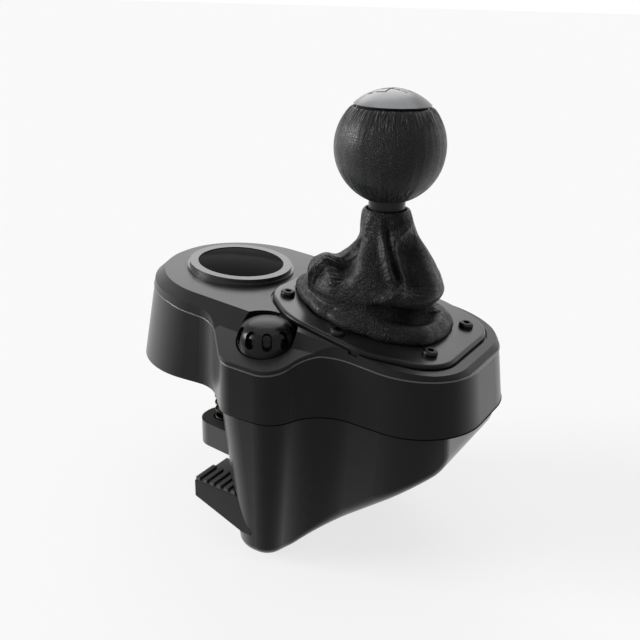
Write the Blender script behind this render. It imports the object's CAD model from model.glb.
"""A desk gear shifter for driving games, dressed for its picture.

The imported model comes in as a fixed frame. Its rigid parts keep their shape and get
their finishes here. The boot, the ball's cover and the clamp springs are made anew.
Everything is in metres: +Z up, +Y towards the lobe over the table, +X to the left of
the person who shifts.
"""

from __future__ import annotations

import logging
import math
from collections.abc import Sequence
from dataclasses import dataclass
from enum import Enum

import bmesh
import bpy
import numpy as np
from mathutils import Matrix, Vector

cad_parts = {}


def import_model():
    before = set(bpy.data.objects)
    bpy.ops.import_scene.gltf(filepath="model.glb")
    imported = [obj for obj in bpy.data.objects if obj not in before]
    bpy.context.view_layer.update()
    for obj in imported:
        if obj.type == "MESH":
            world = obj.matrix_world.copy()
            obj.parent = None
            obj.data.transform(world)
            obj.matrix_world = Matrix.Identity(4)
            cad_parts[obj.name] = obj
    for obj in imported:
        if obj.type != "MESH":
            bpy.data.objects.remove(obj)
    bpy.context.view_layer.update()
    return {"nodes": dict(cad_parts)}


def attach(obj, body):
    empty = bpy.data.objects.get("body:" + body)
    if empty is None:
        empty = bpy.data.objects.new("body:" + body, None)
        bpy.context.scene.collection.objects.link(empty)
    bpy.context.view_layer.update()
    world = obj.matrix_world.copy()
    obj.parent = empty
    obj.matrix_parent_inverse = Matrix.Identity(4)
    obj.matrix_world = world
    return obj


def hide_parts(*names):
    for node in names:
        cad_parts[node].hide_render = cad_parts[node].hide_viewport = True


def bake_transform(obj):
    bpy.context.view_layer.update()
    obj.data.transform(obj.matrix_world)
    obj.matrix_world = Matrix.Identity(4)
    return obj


MM = 0.001
Colour = Corner = Triple = tuple[float, float, float]
Mark = tuple[float, float]
LEVER_Y = -76.6
log = logging.getLogger("shifter")


class Body(Enum):
    """The bodies that the pieces made here ride on."""

    HOUSING = "housing"
    GIMBAL = "gimbal_ring"
    LEVER = "lever"


class Wire:
    """One output socket of a material, on which arithmetic adds its nodes."""

    def __init__(self, recipe: "Recipe", socket: bpy.types.NodeSocket) -> None:
        """Keep the socket and the recipe that it belongs to."""
        self.recipe = recipe
        self.socket = socket

    def _sum(self, operation: str, first: "Value", second: "Value") -> "Wire":
        """Add one Math node.

        Args:
            operation: the node's operation.
            first: what goes into its first socket.
            second: what goes into its second socket.

        Returns:
            The node's output.
        """
        return self.recipe.node("ShaderNodeMath", {"operation": operation}, {0: first, 1: second})

    def __add__(self, other: "Value") -> "Wire":
        """This plus another."""
        return self._sum("ADD", self, other)

    def __radd__(self, other: "Value") -> "Wire":
        """Another plus this."""
        return self._sum("ADD", other, self)

    def __sub__(self, other: "Value") -> "Wire":
        """This less another."""
        return self._sum("SUBTRACT", self, other)

    def __rsub__(self, other: "Value") -> "Wire":
        """Another less this."""
        return self._sum("SUBTRACT", other, self)

    def __mul__(self, other: "Value") -> "Wire":
        """This times another."""
        return self._sum("MULTIPLY", self, other)

    def __rmul__(self, other: "Value") -> "Wire":
        """Another times this."""
        return self._sum("MULTIPLY", other, self)

    def __truediv__(self, other: "Value") -> "Wire":
        """This over another."""
        return self._sum("DIVIDE", self, other)

    def __pow__(self, other: "Value") -> "Wire":
        """This to a power."""
        return self._sum("POWER", self, other)

    def most(self, other: "Value") -> "Wire":
        """The larger of the two."""
        return self._sum("MAXIMUM", self, other)

    def least(self, other: "Value") -> "Wire":
        """The smaller of the two."""
        return self._sum("MINIMUM", self, other)

    def rise(self, low: float, high: float) -> "Wire":
        """Smooth step.

        Args:
            low: the value at which the result is 0.
            high: the value at which the result is 1.

        Returns:
            0 to 1 along a cubic.
        """
        return self.recipe.node(
            "ShaderNodeMapRange",
            {"interpolation_type": "SMOOTHSTEP"},
            {"Value": self, "From Min": low, "From Max": high},
        )


Value = Wire | float | tuple


class Recipe:
    """The node tree of one material, or of the world, while it is written."""

    def __init__(self, owner: bpy.types.Material | bpy.types.World) -> None:
        """Empty the owner's tree."""
        owner.use_nodes = True
        self.tree = owner.node_tree
        self.tree.nodes.clear()

    def node(
        self,
        kind: str,
        settings: dict | None = None,
        sockets: dict | None = None,
        output: int | str = 0,
    ) -> Wire:
        """Add one node.

        Args:
            kind: the node's type.
            settings: its properties.
            sockets: the value or wire of each input, by name or number.
            output: which output to return.

        Returns:
            That output.
        """
        made = self.tree.nodes.new(kind)
        for key, value in (settings or {}).items():
            setattr(made, key, value)
        for key, value in (sockets or {}).items():
            target = made.inputs[key]
            if isinstance(value, Wire):
                self.tree.links.new(value.socket, target)
            elif target.type == "RGBA":
                target.default_value = (*value[:3], 1.0)
            else:
                target.default_value = value
        return Wire(self, made.outputs[output])

    def place(self, stretch: Triple = (1, 1, 1), centre: Triple = (0, 0, 0)) -> Wire:
        """Object coordinates, moved to a centre and then stretched.

        Args:
            stretch: factor along each axis.
            centre: the point, in metres, that becomes the pattern's origin.

        Returns:
            The vector.
        """
        spot = self.node("ShaderNodeTexCoord", output="Object")
        moved = self.node("ShaderNodeVectorMath", {"operation": "SUBTRACT"}, {0: spot, 1: centre})
        return self.node("ShaderNodeVectorMath", {"operation": "MULTIPLY"}, {0: moved, 1: stretch})

    def axes(self, vector: Wire) -> tuple[Wire, Wire, Wire]:
        """The three parts of a vector."""
        split = self.tree.nodes.new("ShaderNodeSeparateXYZ")
        self.tree.links.new(vector.socket, split.inputs[0])
        return tuple(Wire(self, socket) for socket in split.outputs)

    def noise(self, vector: Wire, size: float, detail: float = 2.0, share: float = 0.5) -> Wire:
        """Soft noise from 0 to 1.

        Args:
            vector: where it is read.
            size: the width of its blots, in metres.
            detail: octaves.
            share: how strongly the finer octaves count.

        Returns:
            The value.
        """
        sockets = {"Vector": vector, "Scale": 1.0 / size, "Detail": detail, "Roughness": share}
        return self.node("ShaderNodeTexNoise", None, sockets)

    def cells(self, vector: Wire, size: float, jitter: float = 1.0, feature: str = "F1") -> Wire:
        """Distance in a field of cells.

        Args:
            vector: where it is read.
            size: the width of a cell, in metres.
            jitter: how irregular the cells are.
            feature: which distance is taken.

        Returns:
            The distance, about 0 to 1.
        """
        sockets = {"Vector": vector, "Scale": 1.0 / size, "Randomness": jitter}
        return self.node("ShaderNodeTexVoronoi", {"feature": feature}, sockets, "Distance")

    def tint(self, first: Value, second: Value, share: Value) -> Wire:
        """A colour between two others.

        Args:
            first: the colour at share 0.
            second: the colour at share 1.
            share: the place between them.

        Returns:
            The colour.
        """
        return self.node("ShaderNodeMix", {"data_type": "RGBA"}, {0: share, 6: first, 7: second}, 2)

    def bend(self, spot: Wire, scale: float, reach: float) -> Wire:
        """Push a place about by noise, so that cells read there get bent edges.

        Args:
            spot: the place.
            scale: the noise's scale.
            reach: how far it pushes, in metres.

        Returns:
            The new place.
        """
        sockets = {"Vector": spot, "Scale": scale, "Detail": 2.0}
        drift = self.node("ShaderNodeTexNoise", None, sockets, "Color")
        push = {0: drift, 1: (reach,) * 3, 2: spot}
        return self.node("ShaderNodeVectorMath", {"operation": "MULTIPLY_ADD"}, push)

    def skim(self, low: float, high: float) -> Wire:
        """How far a surface is turned edge on, as a smooth step of 1 less the cosine, for its gloss.

        Args:
            low: where the gloss starts.
            high: where it is full.

        Returns:
            The share, 0 to 1.
        """
        return self.node("ShaderNodeLayerWeight", None, {"Blend": 0.5}, "Facing").rise(low, high)

    def lift(self, height: Wire, depth: float) -> Wire:
        """A relief on the surface.

        Args:
            height: 0 to 1.
            depth: how far 1 stands above 0, in metres.

        Returns:
            The normal.
        """
        return self.node("ShaderNodeBump", None, {"Height": height, "Distance": depth, "Strength": 1.0})

    def seen(self) -> Wire:
        """1 for what the camera, gloss or glass sees, and 0 for light that falls on something matt."""
        camera, gloss, glass = (
            self.node("ShaderNodeLightPath", None, None, f"Is {ray} Ray")
            for ray in ("Camera", "Glossy", "Transmission")
        )
        return camera.most(gloss).most(glass)

    def principled(self, **sockets: Value) -> Wire:
        """The shader that solid finishes end in, from its inputs, with _ for a space."""
        named = {key.replace("_", " "): value for key, value in sockets.items()}
        return self.node("ShaderNodeBsdfPrincipled", None, named)

    def close(self, surface: Wire, kind: str = "Material") -> None:
        """Join a surface to the output of the material or, where that is the kind, of the World."""
        end = self.tree.nodes.new(f"ShaderNodeOutput{kind}")
        self.tree.links.new(surface.socket, end.inputs["Surface"])


def shade(colour: Colour, factor: float) -> Colour:
    """The colour times a factor."""
    return tuple(channel * factor for channel in colour)


@dataclass(frozen=True)
class Finish:
    """A material of one colour, whose surface each kind of finish writes in its own way."""

    name: str
    colour: Colour

    def surface(self, recipe: Recipe) -> Wire:
        """Write the surface's nodes and return its shader."""
        raise NotImplementedError

    def make(self) -> bpy.types.Material:
        """Make the material and return it."""
        material = bpy.data.materials.new(self.name)
        recipe = Recipe(material)
        recipe.close(self.surface(recipe))
        return material


@dataclass(frozen=True)
class Moulded(Finish):
    """Spark-eroded moulded plastic: fine even grain, faint flow marks, dusting in the grain."""

    roughness: float = 0.46
    grain: float = 0.00042
    depth: float = 0.000022
    specular: float = 0.12
    coat: float = 0.9

    def surface(self, recipe: Recipe) -> Wire:
        """Grain and mist, in both the colour and the relief."""
        spot = recipe.place()
        pits = recipe.cells(spot, self.grain)
        mist = recipe.noise(spot, 9 * MM, 3.0)
        flow = recipe.noise(recipe.place((1.0, 0.25, 1.0)), 26 * MM, 2.0)
        worn = (pits * 0.5 + mist * 0.5).rise(0.25, 0.75)
        colour = recipe.tint(shade(self.colour, 0.82), shade(self.colour, 1.22), worn * 0.6 + flow * 0.4)
        relief = recipe.lift(pits + mist * 0.3, self.depth)
        return recipe.principled(
            Base_Color=colour,
            Roughness=self.roughness - 0.07 + mist * 0.08 + flow * 0.06,
            Specular_IOR_Level=self.specular,
            Coat_Weight=recipe.skim(0.2, 0.62) * self.coat,
            Coat_Roughness=0.28,
            Normal=relief,
        )


@dataclass(frozen=True)
class Polished(Finish):
    """Glossy moulded plastic with hairline scuffs and a little dust."""

    roughness: float = 0.14
    coat: float = 0.5
    specular: float = 0.5

    def surface(self, recipe: Recipe) -> Wire:
        """Haze and hairlines under a clear coat."""
        haze = recipe.noise(recipe.place(), 5 * MM, 4.0, 0.6)
        scuffs = recipe.noise(recipe.place((1.0, 1.0, 9.0)), 1.6 * MM, 2.0).rise(0.56, 0.7)
        colour = recipe.tint(self.colour, shade(self.colour, 1.9), haze.rise(0.5, 0.9) * 0.5 + scuffs * 0.2)
        return recipe.principled(
            Base_Color=colour,
            Roughness=self.roughness + haze * 0.06 + scuffs * 0.08,
            Specular_IOR_Level=self.specular,
            Coat_Weight=self.coat,
            Coat_Roughness=0.06,
            Normal=recipe.lift(haze, 0.000012),
        )


@dataclass(frozen=True)
class Leather(Finish):
    """Drum-dyed leather: pebbles with fine creases between them and a few longer wrinkles."""

    pebble: float = 0.00105
    roughness: float = 0.4
    crease: str = ""
    shine: float = 0.75

    def surface(self, recipe: Recipe) -> Wire:
        """Two sizes of pebble on bent cells, darkest in the creases."""
        spot = recipe.place()
        bent = recipe.bend(spot, 260.0, 1.2 * MM)
        edge = recipe.cells(bent, self.pebble, 1.0, "DISTANCE_TO_EDGE")
        pebbles = edge.rise(0.0, 0.22)
        coarse = recipe.cells(bent, self.pebble * 2.7, 1.0, "DISTANCE_TO_EDGE").rise(0.0, 0.16)
        pores = recipe.noise(spot, 0.3 * MM, 3.0, 0.6)
        cloud = recipe.noise(spot, 11 * MM, 3.0)
        height = pebbles * 0.55 + coarse * 0.45 + pores * 0.2
        dark = (1.0 - pebbles * 0.6 - coarse * 0.4) * 0.8
        if self.crease:
            fold = recipe.node("ShaderNodeAttribute", {"attribute_name": self.crease}, None, "Fac")
            dark = (dark + fold * 0.75).least(1.0)
        base = recipe.tint(shade(self.colour, 0.85), shade(self.colour, 1.25), cloud)
        colour = recipe.tint(base, shade(self.colour, 0.3), dark)
        return recipe.principled(
            Base_Color=colour,
            Roughness=self.roughness + dark * 0.22 - cloud * 0.08,
            Specular_IOR_Level=0.1,
            Coat_Weight=recipe.skim(0.1, 0.5) * (1.0 - dark * 0.9) * self.shine,
            Coat_Roughness=0.42,
            Normal=recipe.lift(height, 0.00034),
        )


@dataclass(frozen=True)
class GatheredLeather(Finish):
    """Leather pulled over a ball: pebbles round the middle, gathered into pleats towards both ends."""

    centre: Triple
    radius: float
    pebble: float = 0.001
    shine: float = 0.75
    pleats: float = 17.0
    pleats_up: float = 170.0

    def surface(self, recipe: Recipe) -> Wire:
        """Pebbles that give way to pleats, which are cells read on the unit circle and stretched up."""
        spot = recipe.place(centre=self.centre)
        x, y, z = recipe.axes(spot)
        across = (x * x + y * y) ** 0.5 + 0.0001
        bend = recipe.noise(spot, 5 * MM, 2.0) * 0.34
        round_it = {0: x / across * self.pleats, 1: y / across * self.pleats, 2: z * self.pleats_up + bend}
        fine = recipe.node("ShaderNodeCombineXYZ", None, round_it)
        pleats = recipe.cells(fine, 1.0, 0.9, "DISTANCE_TO_EDGE").rise(0.0, 0.3)
        bent = recipe.bend(spot, 300.0, 1.4 * MM)
        pebbles = recipe.cells(bent, self.pebble, 1.0, "DISTANCE_TO_EDGE").rise(0.0, 0.2)
        pores = recipe.noise(spot, 0.35 * MM, 3.0, 0.6)
        ragged = z + (recipe.noise(spot, 4 * MM, 2.0) - 0.5) * 0.012
        high = ragged.rise(0.25 * self.radius, 0.62 * self.radius)
        low = 1.0 - ragged.rise(-0.78 * self.radius, -0.42 * self.radius)
        gathered = high.most(low)
        height = pleats * gathered * 1.3 + pebbles * (1.0 - gathered) * 0.55 + pores * 0.16
        grooves = (1.0 - pleats) * gathered + (1.0 - pebbles) * (1.0 - gathered) * 0.6
        cloud = recipe.noise(spot, 9 * MM, 3.0)
        base = recipe.tint(shade(self.colour, 0.85), shade(self.colour, 1.25), cloud)
        return recipe.principled(
            Base_Color=recipe.tint(base, shade(self.colour, 0.3), grooves * 0.85),
            Roughness=0.38 + grooves * 0.24 - cloud * 0.06,
            Specular_IOR_Level=0.1,
            Coat_Weight=recipe.skim(0.1, 0.5) * (1.0 - grooves * 0.9) * self.shine,
            Coat_Roughness=0.42,
            Normal=recipe.lift(height, 0.0004),
        )


@dataclass(frozen=True)
class Metal(Finish):
    """Turned or drawn metal: lines across one axis, spots of tarnish."""

    roughness: float = 0.3
    lines: Triple = (1.0, 1.0, 12.0)
    metallic: float = 1.0

    def surface(self, recipe: Recipe) -> Wire:
        """Streaks across the lines, with tarnish in spots."""
        streak = recipe.noise(recipe.place(self.lines), 1.3 * MM, 3.0, 0.6)
        spots = recipe.noise(recipe.place(), 4 * MM, 3.0).rise(0.45, 0.8)
        colour = recipe.tint(self.colour, shade(self.colour, 0.6), spots * 0.6 + streak * 0.25)
        return recipe.principled(
            Base_Color=colour,
            Roughness=self.roughness - 0.05 + streak * 0.14 + spots * 0.12,
            Metallic=self.metallic,
            Normal=recipe.lift(streak, 0.00002),
        )


@dataclass(frozen=True)
class Painted(Finish):
    """Satin paint with a fine metallic flake under a thin clear coat."""

    roughness: float = 0.32
    metallic: float = 0.4
    coat: float = 0.3
    specular: float = 0.2

    def surface(self, recipe: Recipe) -> Wire:
        """Flake in the colour and orange peel in the relief."""
        flake = recipe.cells(recipe.place(), 0.22 * MM)
        peel = recipe.noise(recipe.place(), 1.4 * MM, 2.0)
        haze = recipe.noise(recipe.place(), 14 * MM, 3.0)
        colour = recipe.tint(shade(self.colour, 0.86), shade(self.colour, 1.16), flake * 0.6 + haze * 0.4)
        return recipe.principled(
            Base_Color=colour,
            Roughness=self.roughness + haze * 0.08 - 0.03,
            Metallic=self.metallic,
            Specular_IOR_Level=self.specular,
            Coat_Weight=recipe.skim(0.15, 0.7) * self.coat,
            Coat_Roughness=0.25,
            Normal=recipe.lift(peel, 0.000014),
        )


@dataclass(frozen=True)
class Rubber(Finish):
    """Soft rubber with bloom on its high places and black in its grooves."""


    def surface(self, recipe: Recipe) -> Wire:
        """Bloom over fine grit."""
        bloom = recipe.noise(recipe.place(), 3 * MM, 4.0, 0.6)
        grit = recipe.noise(recipe.place(), 0.4 * MM, 2.0)
        dusty = bloom * 0.7 + grit * 0.3
        return recipe.principled(
            Base_Color=recipe.tint(shade(self.colour, 0.7), shade(self.colour, 1.35), dusty),
            Roughness=0.62 + bloom * 0.18,
            Specular_IOR_Level=0.35,
            Normal=recipe.lift(grit + bloom, 0.00003),
        )


@dataclass(frozen=True)
class CircuitBoard(Finish):
    """Green solder mask with copper tracks under it and rows of tinned pads."""

    over_tracks: Colour = (0.02, 0.13, 0.045)

    def surface(self, recipe: Recipe) -> Wire:
        """Tracks as bands of a bent grid, and pads as a lattice of dots."""
        spot = recipe.place()
        x, y, _ = recipe.axes(spot)
        bend = recipe.noise(spot, 9 * MM, 0.0)
        pitch = 0.9 * MM
        shifted = x + bend.rise(0.48, 0.52) * pitch
        band = recipe.node("ShaderNodeMath", {"operation": "PINGPONG"}, {0: shifted, 1: pitch})
        tracks = 1.0 - band.rise(0.0002, 0.0003)
        dots = recipe.cells(recipe.place(), 2.54 * MM, 0.0)
        pads = 1.0 - dots.rise(0.16, 0.2)
        mask = recipe.tint(self.colour, self.over_tracks, tracks)
        return recipe.principled(
            Base_Color=recipe.tint(mask, (0.6, 0.58, 0.52), pads),
            Roughness=0.3 + pads * 0.1,
            Metallic=pads,
            Coat_Weight=1.0 - pads,
            Coat_Roughness=0.15,
            Normal=recipe.lift(tracks + pads, 0.00004),
        )


@dataclass(frozen=True)
class PaleFloor(Finish):
    """A plain white sweep. The camera sees it partly as white light, which softens the shadow on it."""

    paler: Colour = (0.82, 0.82, 0.82)
    glow: float = 0.76

    def surface(self, recipe: Recipe) -> Wire:
        """White, matt to light and partly glowing to the eye."""
        tooth = recipe.noise(recipe.place(), 4 * MM, 2.0)
        pale = recipe.tint(self.colour, self.paler, tooth)
        matt = recipe.node("ShaderNodeBsdfDiffuse", None, {"Color": pale})
        glow = recipe.node("ShaderNodeEmission", None, {"Color": (1, 1, 1), "Strength": 1.0})
        return recipe.node("ShaderNodeMixShader", None, {0: recipe.seen() * self.glow, 1: matt, 2: glow})


def put(name: str, data: bpy.types.ID) -> bpy.types.Object:
    """Make an object of some data in the scene."""
    made = bpy.data.objects.new(name, data)
    bpy.context.scene.collection.objects.link(made)
    return made


def put_mesh(
    name: str,
    points: np.ndarray,
    faces: np.ndarray,
    finish: bpy.types.Material,
    normals: np.ndarray | None = None,
) -> bpy.types.Object:
    """Make a smooth mesh object at the origin.

    Args:
        name: the piece's name.
        points: its vertices in millimetres, one row each.
        faces: four corner numbers for each face.
        finish: its material.
        normals: a normal for each vertex, where a piece goes on into another.

    Returns:
        The object.
    """
    mesh = bpy.data.meshes.new(name)
    mesh.from_pydata(points * MM, [], faces)
    mesh.polygons.foreach_set("use_smooth", np.ones(len(mesh.polygons), bool))
    mesh.materials.append(finish)
    if normals is not None:
        mesh.normals_split_custom_set_from_vertices(normals)
    mesh.update()
    return put(name, mesh)


def full_turn(count: int) -> np.ndarray:
    """Angles evenly spaced round one turn."""
    return np.linspace(0, 2 * np.pi, count, endpoint=False)


def grid_faces(rows: int, columns: int, closed_rows: bool = False, closed_columns: bool = True) -> np.ndarray:
    """Corner numbers of the faces of a grid whose points are stored row by row.

    Args:
        rows: how many rows of points.
        columns: how many points in a row.
        closed_rows: True where the last row joins the first.
        closed_columns: True where each row is a ring.

    Returns:
        One row of four numbers for each face, going round so that a ring that turns
        anticlockwise and climbs faces outwards.
    """
    numbers = np.arange(rows * columns).reshape(rows, columns)
    if closed_rows:
        numbers = np.concatenate([numbers, numbers[:1]])
    if closed_columns:
        numbers = np.concatenate([numbers, numbers[:, :1]], axis=1)
    low_left = numbers[:-1, :-1]
    low_right = numbers[:-1, 1:]
    high_right = numbers[1:, 1:]
    high_left = numbers[1:, :-1]
    return np.stack([low_left, low_right, high_right, high_left], axis=-1).reshape(-1, 4)


def grid_normals(points: np.ndarray) -> np.ndarray:
    """Unit normals of a grid of rings, from the cross product of its two finite differences.

    Args:
        points: rows by columns by 3, each row a closed ring.

    Returns:
        An array of the same shape.
    """
    around = np.roll(points, -1, 1) - np.roll(points, 1, 1)
    up = np.gradient(points, axis=0)
    normals = np.cross(around, up)
    return normals / np.maximum(np.linalg.norm(normals, axis=-1, keepdims=True), 1e-9)


def tube_points(path: np.ndarray, radius: float, sides: int) -> np.ndarray:
    """Rings round a path, each square to it, with a first corner that turns least from ring to ring.

    Args:
        path: the line's points.
        radius: the tube's radius.
        sides: corners in a ring.

    Returns:
        Points by sides by 3.
    """
    ahead = np.gradient(path, axis=0)
    ahead /= np.linalg.norm(ahead, axis=1, keepdims=True)
    side = np.cross(ahead, (0.0, 0.0, 1.0))
    side /= np.linalg.norm(side, axis=1, keepdims=True)
    over = np.cross(side, ahead)
    turn = full_turn(sides)
    cosine, sine = np.cos(turn)[:, None], np.sin(turn)[:, None]
    return path[:, None] + radius * (cosine * side[:, None] + sine * over[:, None])


def capped(name: str, rings: np.ndarray, finish: bpy.types.Material) -> bpy.types.Object:
    """A tube of rings closed by a fan at each end.

    Args:
        name: the piece's name.
        rings: rows by columns by 3.
        finish: its material.

    Returns:
        The object.
    """
    rows, columns, _ = rings.shape
    caps = np.stack([np.repeat(rings[:1].mean(1), columns, 0), np.repeat(rings[-1:].mean(1), columns, 0)])
    closed = np.concatenate([caps[:1], rings, caps[1:]])
    piece = put_mesh(name, closed.reshape(-1, 3), grid_faces(rows + 2, columns), finish)
    merge_close(piece)
    return piece


def merge_close(piece: bpy.types.Object) -> None:
    """Join a piece's vertices that lie on each other, and turn its faces outwards."""
    work = bmesh.new()
    work.from_mesh(piece.data)
    bmesh.ops.remove_doubles(work, verts=work.verts, dist=1e-7)
    bmesh.ops.recalc_face_normals(work, faces=work.faces)
    work.to_mesh(piece.data)
    work.free()


def rounded_ring(corners: Sequence[Corner], steps: int = 24) -> np.ndarray:
    """The points of a closed outline from the corners of its +X half.

    Each corner (x, y, radius) becomes an arc that touches both of its straight sides.

    Args:
        corners: the half's corners, front to rear.
        steps: points on each arc.

    Returns:
        One (x, y) for each point.
    """
    both = np.array([*corners, *((-x, y, r) for x, y, r in reversed(corners))])
    spots = both[:, :2]
    radii = both[:, 2:]
    before = np.roll(spots, 1, 0) - spots
    after = np.roll(spots, -1, 0) - spots
    before /= np.linalg.norm(before, axis=1, keepdims=True)
    after /= np.linalg.norm(after, axis=1, keepdims=True)
    half = 0.5 * np.arccos(np.sum(before * after, 1, keepdims=True))
    middle = before + after
    centres = spots + middle / np.linalg.norm(middle, axis=1, keepdims=True) * radii / np.sin(half)
    start = spots + before * radii / np.tan(half) - centres
    end = spots + after * radii / np.tan(half) - centres
    first = np.arctan2(start[:, 1], start[:, 0])[:, None]
    last = np.arctan2(end[:, 1], end[:, 0])[:, None]
    turn = (last - first + np.pi) % (2 * np.pi) - np.pi
    angle = first + turn * np.linspace(0, 1, steps)
    arcs = centres[:, None] + radii[:, :, None] * np.stack([np.cos(angle), np.sin(angle)], -1)
    return arcs.reshape(-1, 2)


@dataclass(frozen=True)
class Fold:
    """A ridge or groove on the boot, along a line of (degrees round the lever, row) marks."""

    marks: tuple[Mark, ...]
    height: float
    width: float
    crest: float = 2.0
    fade: float = 0.6


@dataclass
class Boot:
    """The leather boot from the bezel's opening to the collar, sagged, with its folds.

    Its rings are rows. The low ones follow the opening and the saddle plane of the deck,
    the others are level, each with its radius at the side, front quarter, front, rear
    quarter and rear. Between rows both radius and height follow a cubic through them.
    """

    opening: tuple[Corner, ...] = (
        (6.0, 40.6, 7.0),
        (24.5, 18.6, 20.0),
        (25.0, -13.4, 18.0),
        (14.0, -29.2, 11.0),
    )
    saddle_height: float = 37.9
    saddle_y: float = -38.0
    saddle_rise: float = 0.1425
    low_rows: tuple[Mark, ...] = ((-2.0, -0.9), (1.0, -0.5), (3.0, 0.7), (5.4, 0.2), (7.6, -2.2))
    tuck_row: tuple[float, ...] = (10.6, 23.2, 28.0, 34.0, 21.8, 22.8)
    level_rows: tuple[tuple[float, ...], ...] = (
        (47.0, 24.0, 28.5, 32.2, 25.5, 26.5),
        (52.0, 23.0, 26.2, 29.5, 24.5, 25.5),
        (56.0, 21.5, 22.4, 24.6, 22.5, 23.5),
        (59.0, 19.6, 18.4, 19.6, 21.0, 21.8),
        (64.4, 15.8, 14.2, 14.2, 17.5, 18.5),
        (69.5, 12.3, 11.0, 10.8, 14.0, 15.3),
        (74.5, 11.0, 10.5, 10.4, 12.0, 12.6),
        (78.6, 10.4, 10.4, 10.4, 10.6, 10.8),
        (80.6, 9.7, 9.7, 9.7, 9.8, 9.8),
        (80.9, 8.8, 8.8, 8.8, 8.8, 8.8),
        (79.2, 8.2, 8.2, 8.2, 8.2, 8.2),
    )
    split_row: int = 6
    columns: int = 336
    steps: int = 11
    boldness: float = 1.3
    ripple: float = 1.1
    crease_depth: float = 1.1
    crease_window: int = 9
    line_points: int = 60
    folds: tuple[Fold, ...] = (
        Fold(
            ((198, 13.6), (207, 11.6), (209, 10.7), (212, 9.9), (215, 9.1), (219, 7.8), (217, 6.8)),
            2.0,
            2.0,
        ),
        Fold(
            ((204, 12.9), (210, 11.9), (214.5, 10.9), (217.5, 9.9), (221, 9.1), (224, 8.3), (221, 7.4)),
            -2.0,
            1.3,
        ),
        Fold(
            (
                *((276, 12.6), (256, 12.2), (239, 11.75), (223, 11.1), (221, 10.4), (225, 9.6)),
                *((229, 8.5), (227, 7.3), (218, 6.7), (208, 6.3), (197, 5.9)),
            ),
            3.0,
            2.3,
            1.6,
        ),
        Fold(((262, 11.6), (248, 10.4), (240, 9.3), (240, 8.0), (236, 6.6)), -3.2, 6.5, 2.4),
        Fold(
            ((192, 5.8), (204, 5.7), (218, 5.4), (233, 5.0), (250, 4.8), (275, 4.8), (300, 4.9), (325, 5.2)),
            -3.6,
            2.6,
        ),
        Fold(((108, 7.4), (121, 7.5), (134, 6.9)), 4.2, 7.5),
        Fold(((112, 8.3), (127, 8.15), (139, 7.8), (149, 7.3), (154, 6.6)), 1.6, 2.2),
        Fold(((128, 9.2), (143, 8.8), (154, 8.1), (162, 7.2)), -2.6, 4.0),
        Fold(((138, 10.8), (146, 10.0), (151, 9.2)), -2.0, 5.0),
        Fold(((150, 13.2), (160, 10.9), (177, 9.9), (188, 8.9), (196, 7.2)), 1.4, 4.5),
        Fold(((40, 12.4), (28, 10.8), (22, 9.4), (32, 8.0), (26, 6.6), (10, 6.0)), 2.6, 2.3, 1.6),
        Fold(((52, 11.4), (42, 10.0), (44, 8.6), (40, 7.2)), -2.2, 3.6),
        Fold(((350, 12.2), (356, 10.4), (8, 9.0), (4, 7.2)), 1.8, 3.0),
        Fold(((336, 11.6), (330, 9.6), (334, 7.6)), -2.0, 4.5),
        Fold(((72, 9.6), (66, 8.4), (70, 7.0)), 1.6, 4.0),
        Fold(((340, 5.3), (2, 5.4), (26, 5.5), (44, 5.8)), -2.4, 2.4),
    )

    def _round(self, radii: tuple[float, ...], angle: np.ndarray) -> np.ndarray:
        """A closed curve through eight radii an eighth of a turn apart, as the sum of its harmonics.

        Args:
            radii: at the side, front quarter, front, rear quarter and rear.
            angle: where it is read.

        Returns:
            The radius at each angle.
        """
        side, front_side, front, rear_side, rear = radii
        knots = np.array([side, front_side, front, front_side, side, rear_side, rear, rear_side])
        parts = np.fft.rfft(knots) / len(knots)
        orders = np.arange(len(parts))[:, None]
        weights = np.array([1, 2, 2, 2, 1])[:, None]
        waves = parts.real[:, None] * np.cos(orders * angle) - parts.imag[:, None] * np.sin(orders * angle)
        return np.sum(weights * waves, 0)

    def _rows(self, angle: np.ndarray) -> tuple[np.ndarray, np.ndarray]:
        """Radius and height of every row at every angle.

        Args:
            angle: the columns' angles.

        Returns:
            The radii and the heights, rows by columns.
        """
        ring = rounded_ring(self.opening)
        turn = np.arctan2(ring[:, 1], ring[:, 0]) % (2 * np.pi)
        order = np.argsort(turn)
        hole = np.interp(angle, turn[order], np.hypot(*ring.T)[order], period=2 * np.pi)
        radii = [hole + out for _, out in self.low_rows]
        radii.append(self._round(self.tuck_row[1:], angle))
        over = [up for up, _ in self.low_rows] + [self.tuck_row[0]]
        heights = [
            self.saddle_height + self.saddle_rise * (LEVER_Y + r * np.sin(angle) - self.saddle_y) + up
            for r, up in zip(radii, over)
        ]
        radii += [self._round(row[1:], angle) for row in self.level_rows]
        heights += [np.full_like(angle, row[0]) for row in self.level_rows]
        return np.array(radii), np.array(heights)

    @staticmethod
    def _through(knots: np.ndarray, row: np.ndarray) -> np.ndarray:
        """The cubic through the rows, with each slope half the step between its neighbours.

        Args:
            knots: rows by columns.
            row: where it is read, as a fractional row number.

        Returns:
            One line for each of these.
        """
        last = len(knots) - 1
        low = np.clip(np.floor(row).astype(int), 0, last - 1)
        t = (row - low)[:, None]
        before, start = knots[np.clip(low - 1, 0, last)], knots[low]
        end, after = knots[low + 1], knots[np.clip(low + 2, 0, last)]
        rise, fall = 0.5 * (end - before), 0.5 * (after - start)
        return (
            (2 * t**3 - 3 * t**2 + 1) * start
            + (t**3 - 2 * t**2 + t) * rise
            + (3 * t**2 - 2 * t**3) * end
            + (t**3 - t**2) * fall
        )

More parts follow.
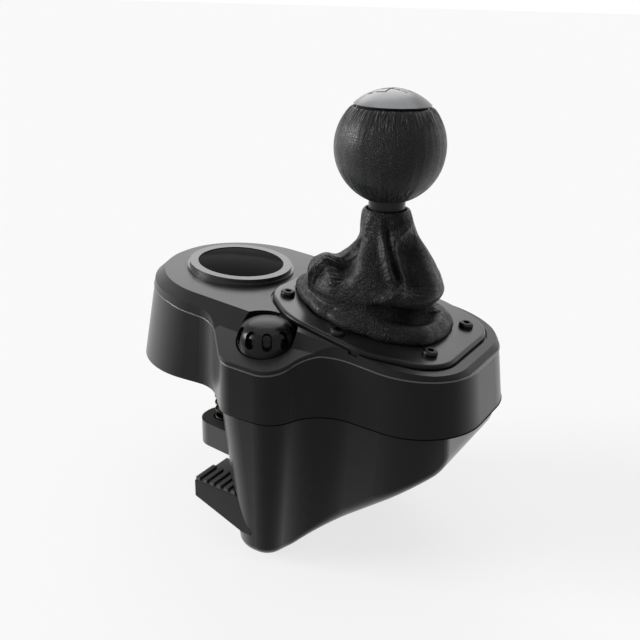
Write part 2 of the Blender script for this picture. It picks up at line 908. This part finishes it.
    def _fold_height(self, fold: Fold, points: np.ndarray, spine: np.ndarray) -> np.ndarray:
        """How far one fold lifts each point: a bell of the distance to its line, faded at the line's ends.

        Args:
            fold: the ridge or groove.
            points: the grid's points, rows by columns by 3.
            spine: the fold's own points on that grid, with the fade in a fourth column.

        Returns:
            The lift, rows by columns.
        """
        gap = np.full(points.shape[:2], np.inf)
        fade = np.zeros(points.shape[:2])
        for x, y, z, share in spine:
            away = np.sqrt(np.sum((points - (x, y, z)) ** 2, -1))
            nearer = away < gap
            gap = np.where(nearer, away, gap)
            fade = np.where(nearer, share, fade)
        return self.boldness * fold.height * fade * np.exp(-((gap / fold.width) ** fold.crest))

    def surface(self) -> tuple[np.ndarray, np.ndarray, np.ndarray]:
        """The folded skin.

        Returns:
            Its points, its normals, and how deep each point lies in a fold, 0 to 1.
        """
        angle = full_turn(self.columns)
        radii, heights = self._rows(angle)
        row = np.linspace(0, len(radii) - 1, (len(radii) - 1) * self.steps + 1)
        out, up = self._through(radii, row), self._through(heights, row)
        points = np.stack([out * np.cos(angle), LEVER_Y + out * np.sin(angle), up], -1)
        normals = grid_normals(points)
        lift = np.zeros(points.shape[:2])
        for fold in self.folds:
            marks = np.array(fold.marks, float)
            marks[:, 0] = np.degrees(np.unwrap(np.radians(marks[:, 0])))
            share = np.linspace(0, 1, self.line_points)
            knots = np.linspace(0, 1, len(marks))
            turn = np.interp(share, knots, marks[:, 0])
            level = np.interp(share, knots, marks[:, 1])
            column = (turn / 360 * self.columns).round().astype(int) % self.columns
            line = points[(level * self.steps).round().astype(int), column]
            ends = np.clip(np.minimum(share, 1 - share) / (0.5 * fold.fade) + 0.15, 0, 1)
            lift += self._fold_height(fold, points, np.column_stack([line, ends]))
        ripple = self._ripples(angle, row)
        held = np.clip((row - 1.5) / 2.0, 0, 1) * np.clip((len(radii) - 3.2 - row) / 1.5, 0, 1)
        lift = (lift + ripple) * held[:, None]
        points = points + normals * lift[..., None]
        normals = grid_normals(points)
        slack = lift - self._soften(lift, self.crease_window)
        depth = np.clip(-slack / self.crease_depth, 0, 1)
        return points, normals, depth

    @staticmethod
    def _soften(field_: np.ndarray, reach: int) -> np.ndarray:
        """The mean of a field over a square window, wrapped round its columns.

        Args:
            field_: rows by columns.
            reach: half the window's width in points.

        Returns:
            The softened field.
        """
        out = field_
        for axis in (0, 1):
            out = np.mean([np.roll(out, shift, axis) for shift in range(-reach, reach + 1)], 0)
        return out

    def _ripples(self, angle: np.ndarray, row: np.ndarray) -> np.ndarray:
        """Small slack waves: eight slanted sines whose phases come from a fixed seed.

        Args:
            angle: the columns' angles.
            row: the rows' numbers.

        Returns:
            The lift, rows by columns.
        """
        dice = np.random.default_rng(7)
        waves = np.zeros((len(row), len(angle)))
        for turns in (5, 7, 9, 12, 15, 19, 23, 29):
            slant, phase = dice.uniform(-1.6, 1.6), dice.uniform(0, 2 * np.pi)
            swell = 0.5 + 0.5 * np.sin(row * dice.uniform(0.5, 1.3) + dice.uniform(0, 6))
            sway = np.sin(turns * angle + slant * row[:, None] + phase)
            waves += (self.ripple / turns) * swell[:, None] * sway
        return waves

    def build(self, finish: bpy.types.Material) -> list[bpy.types.Object]:
        """Make the lower and upper halves, which share one ring and bend one about each axis.

        Args:
            finish: the leather.

        Returns:
            Both pieces.
        """
        points, normals, depth = self.surface()
        cut = self.split_row * self.steps
        halves = (
            ("boot_skirt", slice(0, cut + 1)),
            ("boot_neck", slice(cut, len(points))),
        )
        made = []
        for name, part in halves:
            rows = points[part]
            faces = grid_faces(len(rows), self.columns)
            piece = put_mesh(name, rows.reshape(-1, 3), faces, finish, normals[part].reshape(-1, 3))
            crease = piece.data.attributes.new("crease", "FLOAT", "POINT")
            crease.data.foreach_set("value", depth[part].reshape(-1).astype(np.float32))
            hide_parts("boot")
            made.append(piece)
        tilt = np.array([0.0, -self.saddle_rise, 1.0])
        tilt /= np.linalg.norm(tilt)
        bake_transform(made[0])
        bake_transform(made[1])
        return made


@dataclass
class Ball:
    """The ball's leather cover and the inlaid shift pattern on its cap.

    Each roll is how far the cover turns in at an edge and how soon, and gather how deep
    its pleats are below the cap and over what angle they fade.
    """

    centre_height: float = 106.1
    radius: float = 23.0
    cap_radius: float = 15.65
    cap_gap: float = 0.55
    collar_radius: float = 7.7
    columns: int = 300
    rows: int = 190
    sunk: float = 0.05
    top_roll: Mark = (0.9, 0.55)
    low_roll: Mark = (0.5, 0.8)
    swell: float = 0.12
    gather: Mark = (0.07, 0.28)
    stroke: float = 0.55
    gate_half_width: float = 4.6
    gate_half_height: float = 4.0
    figure_size: float = 3.0
    figure_gap: float = 2.1
    inlay_lift: float = 0.05

    def cover(self, finish: bpy.types.Material) -> bpy.types.Object:
        """The cover: a profile of radius by angle turned about the lever, uneven and rolled at its edges.

        Args:
            finish: the leather.

        Returns:
            The piece.
        """
        angle = full_turn(self.columns)
        top = math.asin(math.sqrt(1 - (self.cap_radius / self.radius) ** 2)) - self.cap_gap / self.radius
        low = -math.acos(self.collar_radius / self.radius)
        lean = np.linspace(low, top, self.rows)
        from_top, from_low = (top - lean) * self.radius, (lean - low) * self.radius
        reach = np.full_like(lean, self.radius - self.sunk)
        for away, (turned_in, soon) in ((from_top, self.top_roll), (from_low, self.low_roll)):
            reach -= turned_in * np.exp(-away / soon)
        lean = np.concatenate([[low, low], lean, [top, top]])
        foot, lip = self.radius - np.array([3.2, 1.6]), self.radius - np.array([1.8, 2.6])
        reach = np.concatenate([foot, reach, lip])
        dice = np.random.default_rng(11)
        waves = np.zeros((len(lean), len(angle)))
        for turns in (3, 5, 8, 13, 21, 34):
            phase, slant = dice.uniform(0, 2 * np.pi), dice.uniform(-3, 3)
            waves += (self.swell / turns**0.5) * np.sin(turns * angle + slant * lean[:, None] + phase)
        near_top = self.gather[0] * np.exp(-np.abs(top - lean) / self.gather[1])[:, None]
        for turns in (41, 53, 67):
            phase = dice.uniform(0, 2 * np.pi)
            waves += near_top * np.sin(turns * angle + phase + 0.7 * np.sin(5 * angle + phase))
        inner = (np.arange(len(lean)) > 3) & (np.arange(len(lean)) < len(lean) - 4)
        radius = reach[:, None] + np.where(inner[:, None], waves - self.swell, 0.0)
        out = radius * np.cos(lean)[:, None]
        up = radius * np.sin(lean)[:, None] + self.centre_height
        points = np.stack([out * np.cos(angle), LEVER_Y + out * np.sin(angle), up], -1)
        piece = put_mesh("ball_cover", points.reshape(-1, 3), grid_faces(len(lean), self.columns), finish)
        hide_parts("knob_leather")
        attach(piece, Body.LEVER.value)
        return piece

    def _on_cap(self, flat: np.ndarray, lift: float) -> np.ndarray:
        """Flat points laid on the cap's sphere, at the root of its squared radius less x and y squared.

        Args:
            flat: (x, y) from the lever's line.
            lift: how far above the cap.

        Returns:
            Points in the frame.
        """
        ball = self.radius + lift
        up = np.sqrt(ball**2 - np.sum(flat**2, -1)) + self.centre_height
        return np.stack([flat[..., 0], LEVER_Y + flat[..., 1], up], -1)

    def inlay(self, finish: bpy.types.Material) -> list[bpy.types.Object]:
        """The shift pattern: flat strokes swept along straight lines on the cap, and a number at each end.

        Args:
            finish: the inlay's paint.

        Returns:
            The pieces.
        """
        wide, high = self.gate_half_width, self.gate_half_height
        strokes = [((-2 * wide, 0.0), (wide, 0.0))]
        strokes += [((x, -high), (x, high)) for x in (-wide, 0.0, wide)]
        strokes += [((-2 * wide, 0.0), (-2 * wide, high))]
        shift = np.array([0.5 * wide, 0.0])
        pieces = []
        for number, (start, end) in enumerate(strokes):
            a, b = np.array(start) + shift, np.array(end) + shift
            along = (b - a) / np.linalg.norm(b - a)
            across = np.array([-along[1], along[0]]) * 0.5 * self.stroke
            t = np.linspace(0, 1, 24)[:, None, None]
            s = np.linspace(-1, 1, 5)[None, :, None]
            reach = 0.5 * self.stroke * along
            flat = (a - reach) * (1 - t) + (b + reach) * t + s * across
            top = self._on_cap(flat, self.inlay_lift)
            faces = grid_faces(len(t), s.shape[1], closed_columns=False)
            pieces.append(put_mesh(f"gate_stroke_{number}", top.reshape(-1, 3), faces, finish))
        marks = [("1", -wide, high), ("2", -wide, -high), ("3", 0.0, high), ("4", 0.0, -high)]
        marks += [("5", wide, high), ("6", wide, -high), ("R", -2 * wide, high)]
        for word, x, y in marks:
            pieces.append(self._figure(word, x + shift[0], y + math.copysign(self.figure_gap, y), finish))
        for piece in pieces:
            turn_up(piece)
            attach(piece, Body.LEVER.value)
        return pieces

    def _figure(self, word: str, x: float, y: float, finish: bpy.types.Material) -> bpy.types.Object:
        """One number laid on the cap.

        Args:
            word: the number.
            x: its middle, to the side.
            y: its middle, ahead.
            finish: the inlay's paint.

        Returns:
            The piece.
        """
        curve = bpy.data.curves.new(f"gate_figure_{word}", "FONT")
        curve.body = word
        curve.size = self.figure_size
        curve.align_x = "CENTER"
        curve.align_y = "CENTER"
        text = put(curve.name, curve)
        bpy.context.view_layer.update()
        mesh = bpy.data.meshes.new_from_object(text)
        bpy.data.objects.remove(text)
        flat = np.zeros(len(mesh.vertices) * 3)
        mesh.vertices.foreach_get("co", flat)
        flat = flat.reshape(-1, 3)[:, :2] + (x, y)
        laid = self._on_cap(flat, self.inlay_lift) * MM
        mesh.vertices.foreach_set("co", laid.reshape(-1))
        mesh.materials.clear()
        mesh.materials.append(finish)
        return put(f"gate_figure_{word}", mesh)


def turn_up(piece: bpy.types.Object) -> None:
    """Turn a flat piece's faces upwards where most of them look down."""
    mesh = piece.data
    normals = np.zeros(len(mesh.polygons) * 3)
    mesh.polygons.foreach_get("normal", normals)
    if normals.reshape(-1, 3)[:, 2].mean() < 0:
        mesh.flip_normals()


@dataclass
class PartingLines:
    """Where the moulded shells meet: a dark seam over the housing and a bright edge under the deck.

    The corners are the half outline's at the seam, and drawn in by the draft at drawn_height.
    """

    tail: tuple[Corner, ...] = ((61.6, -62.5, 13.0), (38.5, -69.0, 20.0), (40.4, -130.2, 30.0))
    tail_drawn: tuple[Corner, ...] = ((61.1, -62.0, 12.7), (38.0, -68.5, 20.0), (39.9, -125.2, 30.0))
    seam_front: Corner = (62.6, -27.8, 17.0)
    lobe: tuple[Corner, ...] = ((49.8, 44.9, 43.0), (45.6, -18.5, 18.0), (62.6, -37.0, 10.0))
    lobe_drawn: tuple[Corner, ...] = ((44.5, 39.6, 43.0), (43.9, -18.5, 18.0), (62.6, -37.0, 10.0))
    drawn_height: float = 34.0
    deck_height: float = 40.6
    deck_fall: float = 4.37
    rim_drop: float = 7.6
    ear_start: float = 42.5
    ear_slope: float = 20.0
    seam_radius: float = 0.24
    edge_radius: float = 0.34
    sides: int = 8

    def _rim(self) -> np.ndarray:
        """The deck's lower edge: the drafted wall on the lowered top plane, bent down at the ears.

        Height depends on place and the wall's draft on height, so both are found in a few rounds.

        Returns:
            Its points.
        """
        low, high = rounded_ring([*self.lobe, *self.tail]), rounded_ring([*self.lobe_drawn, *self.tail_drawn])
        fall, slope = math.radians(self.deck_fall), math.tan(math.radians(self.ear_slope))
        up = np.full(len(low), self.deck_height)
        for _ in range(4):
            flat = low + (high - low) * (up / self.drawn_height)[:, None]
            up = self.deck_height + math.tan(fall) * flat[:, 1] - self.rim_drop / math.cos(fall)
            up = up - slope * np.clip(np.abs(flat[:, 0]) - self.ear_start, 0, None)
        return np.column_stack([flat, up])

    def _bead(
        self,
        name: str,
        path: np.ndarray,
        radius: float,
        finish: bpy.types.Material,
    ) -> bpy.types.Object:
        """A closed bead along a path: a circle of the path's level outward normal and the vertical.

        Args:
            name: the piece's name.
            path: its points.
            radius: the bead's.
            finish: its material.

        Returns:
            The piece.
        """
        along = np.roll(path, -1, 0) - np.roll(path, 1, 0)
        out = np.column_stack([along[:, 1], -along[:, 0], np.zeros(len(path))])
        out /= np.linalg.norm(out, axis=1)[:, None]
        angle = full_turn(self.sides)[None, :, None]
        upward = np.array([0.0, 0.0, 1.0])
        rings = path[:, None] + radius * (np.cos(angle) * out[:, None] + np.sin(angle) * upward)
        faces = grid_faces(len(path), self.sides, closed_rows=True)
        piece = put_mesh(name, rings.reshape(-1, 3), faces, finish)
        merge_close(piece)
        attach(piece, Body.HOUSING.value)
        return piece

    def build(self, seam: bpy.types.Material, edge: bpy.types.Material) -> list[bpy.types.Object]:
        """Make both lines.

        Args:
            seam: the shadow in the gap.
            edge: the worn edge.

        Returns:
            The pieces.
        """
        flat = rounded_ring([self.seam_front, *self.tail])
        level = np.column_stack([flat, np.zeros(len(flat))])
        return [
            self._bead("housing_seam", level, self.seam_radius, seam),
            self._bead("deck_edge", self._rim(), self.edge_radius, edge),
        ]


@dataclass
class ClampSpring:
    """A compression spring on a guide pin, with its end turns closed up."""

    side: str
    x: float = 43.5
    y: float = -22.3
    low: float = -21.94
    high: float = 23.94
    mean_radius: float = 2.95
    wire_radius: float = 0.55
    turns: float = 14.0
    closed_turns: float = 1.1
    closed_pace: float = 0.36

    def build(self, finish: bpy.types.Material) -> bpy.types.Object:
        """The spring: a helix whose climb slows to one wire's width a turn at both ends.

        Args:
            finish: the spring steel.

        Returns:
            The piece.
        """
        steps = int(self.turns * 30)
        turn = np.linspace(0, self.turns, steps)
        ease = np.clip(np.minimum(turn, self.turns - turn) / self.closed_turns, 0, 1)
        pace = self.closed_pace + (1 - self.closed_pace) * ease * ease * (3 - 2 * ease)
        climb = np.concatenate([[0], np.cumsum(0.5 * (pace[1:] + pace[:-1]))])
        room = self.high - self.low - 2 * self.wire_radius
        up = self.low + self.wire_radius + room * climb / climb[-1]
        sign = 1 if self.side == "left" else -1
        angle = 2 * np.pi * turn * sign
        across = sign * self.x + self.mean_radius * np.cos(angle)
        along = self.y + self.mean_radius * np.sin(angle)
        path = np.stack([across, along, up], -1)
        piece = capped(f"clamp_spring_{self.side}", tube_points(path, self.wire_radius, 10), finish)
        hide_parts(f"arm_spring_{self.side}")
        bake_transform(piece)
        return piece


@dataclass
class Studio:
    """The floor, the lamps, the white surroundings and the camera."""

    floor_height: float = -75.3
    floor_reach: float = 40000.0
    camera_place: Triple = (-293.2, -225.9, 159.9)
    turn: float = -57.98
    down: float = 22.43
    roll: float = 1.39
    lens: float = 45.07
    shift: Mark = (0.00905, 0.0183)
    surrounding_level: float = 0.2
    lamps: tuple[tuple[str, Triple, float, float], ...] = (
        ("soft_lamp_left", (-0.55, 0.8, 0.32), 28.0, 3.8),
        ("soft_lamp_above", (0.05, -0.05, 1.0), 70.0, 0.75),
        ("soft_lamp_behind", (0.6, 0.45, 0.66), 46.0, 0.8),
    )

    def floor(self) -> bpy.types.Object:
        """A very wide level sheet just under the part, as a grid."""
        line = np.linspace(-self.floor_reach, self.floor_reach, 41)
        x, y = np.meshgrid(line, line)
        points = np.stack([x, y, np.full_like(x, self.floor_height)], -1)
        faces = grid_faces(len(line), len(line), closed_columns=False)
        sheet = PaleFloor("pale_floor", (0.77, 0.77, 0.77)).make()
        piece = put_mesh("studio_floor", points.reshape(-1, 3), faces, sheet)
        return piece

    def lamp(self, name: str, towards: Triple, angle: float, strength: float) -> None:
        """One very distant soft lamp, so that the floor is lit evenly.

        Args:
            name: its name.
            towards: the direction from the part to the lamp.
            angle: how wide it looks from the part, in degrees.
            strength: in watts a square metre.
        """
        data = bpy.data.lights.new(name, "SUN")
        data.angle = math.radians(angle)
        data.energy = strength
        lamp = put(name, data)
        lamp.rotation_mode = "QUATERNION"
        lamp.rotation_quaternion = (-Vector(towards)).to_track_quat("-Z", "Y")

    def surroundings(self, level: float) -> None:
        """A dim even light from all round that the camera, gloss and glass see as white.

        Args:
            level: its strength as light.
        """
        world = bpy.data.worlds.new("surroundings")
        bpy.context.scene.world = world
        recipe = Recipe(world)
        reach = {"Value": recipe.seen(), "To Min": level, "To Max": 1.0}
        strength = recipe.node("ShaderNodeMapRange", None, reach)
        back = recipe.node("ShaderNodeBackground", None, {"Color": (1, 1, 1), "Strength": strength})
        recipe.close(back, "World")

    def camera(self) -> None:
        """The camera: its axes are the level right and the view's down, turned by the roll."""
        turn, down, roll = (math.radians(a) for a in (self.turn, self.down, self.roll))
        level = np.array([math.cos(turn), math.sin(turn), 0.0])
        ahead = np.array([-math.sin(turn) * math.cos(down), math.cos(turn) * math.cos(down), -math.sin(down)])
        under = np.cross(ahead, level)
        right = math.cos(roll) * level - math.sin(roll) * under
        below = math.sin(roll) * level + math.cos(roll) * under
        data = bpy.data.cameras.new("camera")
        data.sensor_width = 36.0
        data.lens = self.lens
        data.shift_x, data.shift_y = self.shift
        data.clip_start, data.clip_end = 0.01, 50.0
        camera = put("camera", data)
        axes = Matrix(np.column_stack([right, -below, -ahead]).tolist()).to_4x4()
        camera.matrix_world = Matrix.Translation(Vector(self.camera_place) * MM) @ axes
        bpy.context.scene.camera = camera

    def build(self) -> None:
        """Put everything in its place."""
        bpy.context.scene.view_settings.view_transform = "Standard"
        self.camera()
        self.floor()
        self.surroundings(self.surrounding_level)
        for lamp in self.lamps:
            self.lamp(*lamp)


@dataclass
class Dressing:
    """The finishes of the rigid parts that keep their shape."""

    nodes: dict[str, bpy.types.Object]
    groups: tuple[tuple[object, tuple[str, ...]], ...] = (
        (Moulded("deck_satin", (0.0075, 0.0077, 0.008), 0.4, coat=0.45), ("deck",)),
        (Moulded("shell_satin", (0.0045, 0.0046, 0.0048), 0.42, coat=0.7), ("side_shell",)),
        (Moulded("housing_satin", (0.0042, 0.0043, 0.0045), 0.44), ("lower_housing",)),
        (
            Moulded("arm_plastic", (0.012, 0.012, 0.0125), 0.4, specular=0.3),
            ("clamp_arm_left", "clamp_arm_right"),
        ),
        (Painted("bezel_paint", (0.005, 0.0051, 0.0053), 0.36, 0.0, 0.8, 0.1), ("bezel",)),
        (Painted("ring_paint", (0.05, 0.051, 0.052), 0.34, 0.35, 0.5), ("emblem_ring", "emblem_step")),
        (Polished("lens_gloss", (0.002, 0.002, 0.0022), 0.07, 0.0, 0.004), ("emblem_lens",)),
        (Metal("blackened_steel", (0.02, 0.02, 0.021), 0.3), ("bezel_screws", "body_screws")),
        (Painted("cap_silver", (0.17, 0.172, 0.175), 0.3, 0.7, 0.1), ("knob_cap",)),
        (Moulded("trim_black", (0.004, 0.004, 0.004), 0.5, coat=0.2), ("knob_trim",)),
        (Painted("collar_satin", (0.008, 0.0082, 0.0085), 0.3, 0.3, 0.4), ("collar",)),
        (
            Polished("knob_gloss", (0.004, 0.004, 0.0042), 0.2, 0.0, 0.16),
            ("clamp_knob_left", "clamp_knob_right"),
        ),
        (
            Metal("bright_steel", (0.5, 0.5, 0.49), 0.28),
            (
                "lever_shaft",
                "clamp_rod_left",
                "clamp_rod_right",
                "guide_pin_left",
                "guide_pin_right",
                "cross_pin",
                "centring_leaves",
            ),
        ),
        (Metal("brass", (0.62, 0.42, 0.17), 0.3), ("clamp_nut_left", "clamp_nut_right", "rig_inserts")),
        (Rubber("pad_rubber", (0.04, 0.04, 0.04)), ("jaw_pad_left", "jaw_pad_right", "cable_gland")),
        (
            Moulded("inner_plastic", (0.02, 0.02, 0.021), 0.5),
            ("knob_core", "gimbal", "fore_sensor", "side_sensor", "pivot_frame", "gate_plate"),
        ),
        (CircuitBoard("solder_mask", (0.008, 0.06, 0.022)), ("circuit_board",)),
    )

    def dress(self) -> None:
        """Give each part its finish in place of every slot that it came with."""
        for finish, names in self.groups:
            material = finish.make()
            for name in names:
                mesh = self.nodes[name].data
                mesh.materials.clear()
                mesh.materials.append(material)
                log.info("dressed %s with %s", name, material.name)


def main() -> None:
    """Load the frame, make and dress every piece, and set the studio."""
    logging.basicConfig(level=logging.INFO, format="%(message)s")
    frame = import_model()
    Studio().build()
    Dressing(frame["nodes"]).dress()
    hide = Leather("boot_leather", (0.0115, 0.0117, 0.012), crease="crease", shine=0.6)
    for piece in Boot().build(hide.make()):
        log.info("made %s", piece.name)
    ball = Ball()
    middle = (0.0, LEVER_Y * MM, ball.centre_height * MM)
    cover = GatheredLeather("ball_leather", (0.021, 0.0214, 0.0218), middle, ball.radius * MM)
    log.info("made %s", ball.cover(cover.make()).name)
    paint = Moulded("inlay_paint", (0.004, 0.004, 0.004), 0.5, specular=0.05, coat=0.0)
    for piece in ball.inlay(paint.make()):
        log.info("made %s", piece.name)
    seam = Moulded("seam_shadow", (0.0012, 0.0012, 0.0012), 0.7, specular=0.02, coat=0.0).make()
    edge = Moulded("deck_edge_satin", (0.03, 0.0305, 0.031), 0.3, specular=0.5, coat=0.8).make()
    for piece in PartingLines().build(seam, edge):
        log.info("made %s", piece.name)
    wire = Metal("spring_black", (0.03, 0.03, 0.032), 0.35, (1.0, 1.0, 1.0)).make()
    for side in ("left", "right"):
        log.info("made %s", ClampSpring(side).build(wire).name)


if __name__ == "__main__":
    main()
